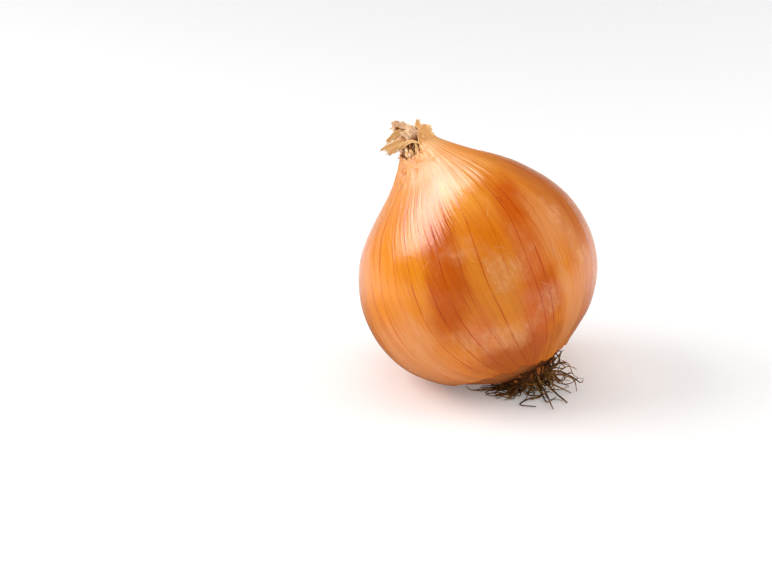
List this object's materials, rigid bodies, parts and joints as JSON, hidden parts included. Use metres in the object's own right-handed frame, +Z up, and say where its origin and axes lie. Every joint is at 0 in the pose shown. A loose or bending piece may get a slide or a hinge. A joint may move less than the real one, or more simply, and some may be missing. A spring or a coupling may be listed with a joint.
{
  "type": "onion",
  "caption": "Whole brown onion in its dry skins, leaning over on a small flat spot, with a dry straw-like neck and a tuft of dry roots.",
  "frame": {"origin": "middle of the small flat spot on the underside of the bulb, on the surface that the onion lies on", "axes": "+Z up; the neck leans to -X and +Y, and the roots spread towards +X and -Y; the bulb is looked at from -Y"},
  "size_m": [0.0791, 0.0795, 0.0846],
  "materials": {
    "golden_brown_skin": "satin",
    "dry_straw": "matte",
    "dry_root": "matte"
  },
  "bodies": {
    "root": {"bulb": "golden_brown_skin", "neck_husk": "dry_straw", "root_tuft": "dry_root"}
  },
  "joints": []
}
